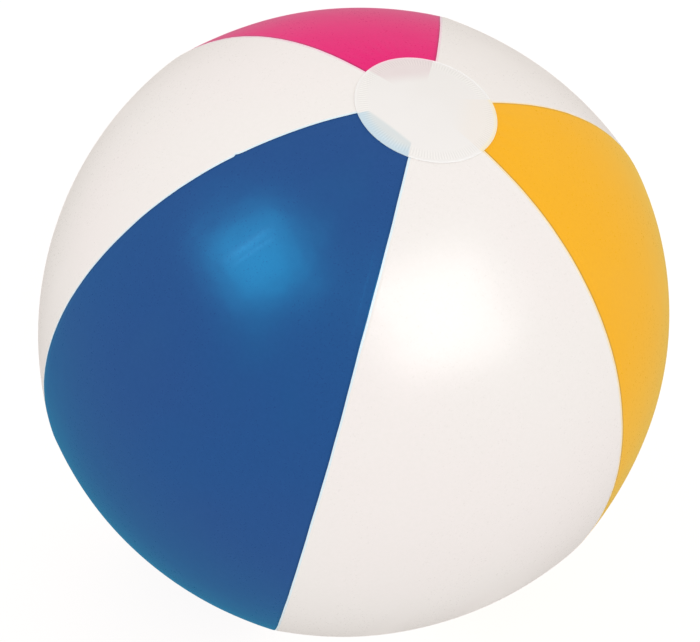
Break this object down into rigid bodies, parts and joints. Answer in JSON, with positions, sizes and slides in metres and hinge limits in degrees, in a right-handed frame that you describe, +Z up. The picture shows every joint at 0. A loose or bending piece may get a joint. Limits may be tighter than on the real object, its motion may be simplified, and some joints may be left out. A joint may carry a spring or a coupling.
{
  "type": "inflatable beach ball",
  "caption": "Round inflatable ball of alternating coloured and white vinyl gores, with milky end caps and a push-in air valve on one gore.",
  "frame": {"origin": "middle of the inflated ball", "axes": "+Z runs up through the end caps, +Y runs out through the air valve, and the blue gore is centred on -Y"},
  "size_m": [0.3629, 0.3563, 0.3507],
  "materials": {
    "vinyl_blue": "satin",
    "vinyl_yellow": "satin",
    "vinyl_pink": "satin",
    "vinyl_white": "satin",
    "vinyl_milky": "satin",
    "vinyl_moulded": "satin"
  },
  "bodies": {
    "ball": {"panel_blue": "vinyl_blue", "panel_white_front": "vinyl_white", "panel_yellow": "vinyl_yellow", "panel_white_back": "vinyl_white", "panel_pink": "vinyl_pink", "panel_white_left": "vinyl_white", "end_cap_top": "vinyl_milky", "end_cap_bottom": "vinyl_milky", "valve_flange": "vinyl_moulded", "valve_diaphragm": "vinyl_moulded"},
    "stem": {"valve_stem": "vinyl_moulded"},
    "plug": {"valve_plug": "vinyl_moulded", "plug_tether": "vinyl_moulded"},
    "flap": {"check_flap": "vinyl_moulded"}
  },
  "joints": [
    {"name": "stem_pull_out", "type": "slide", "parent": "ball", "child": "stem", "axis": [0, 1, 0], "range_m": [0, 0.015], "deforming": ["valve_diaphragm"]},
    {"name": "plug_flip", "type": "hinge", "parent": "stem", "child": "plug", "pos_m": [0, 0.17566, 0.0069], "axis": [1, 0, 0], "range_deg": [0, 115], "deforming": ["plug_tether"]},
    {"name": "flap_open", "type": "hinge", "parent": "stem", "child": "flap", "pos_m": [0, 0.16096, 0.0049], "axis": [-1, 0, 0], "range_deg": [0, 60], "stiffness_Nm_per_rad": 0.00002}
  ]
}
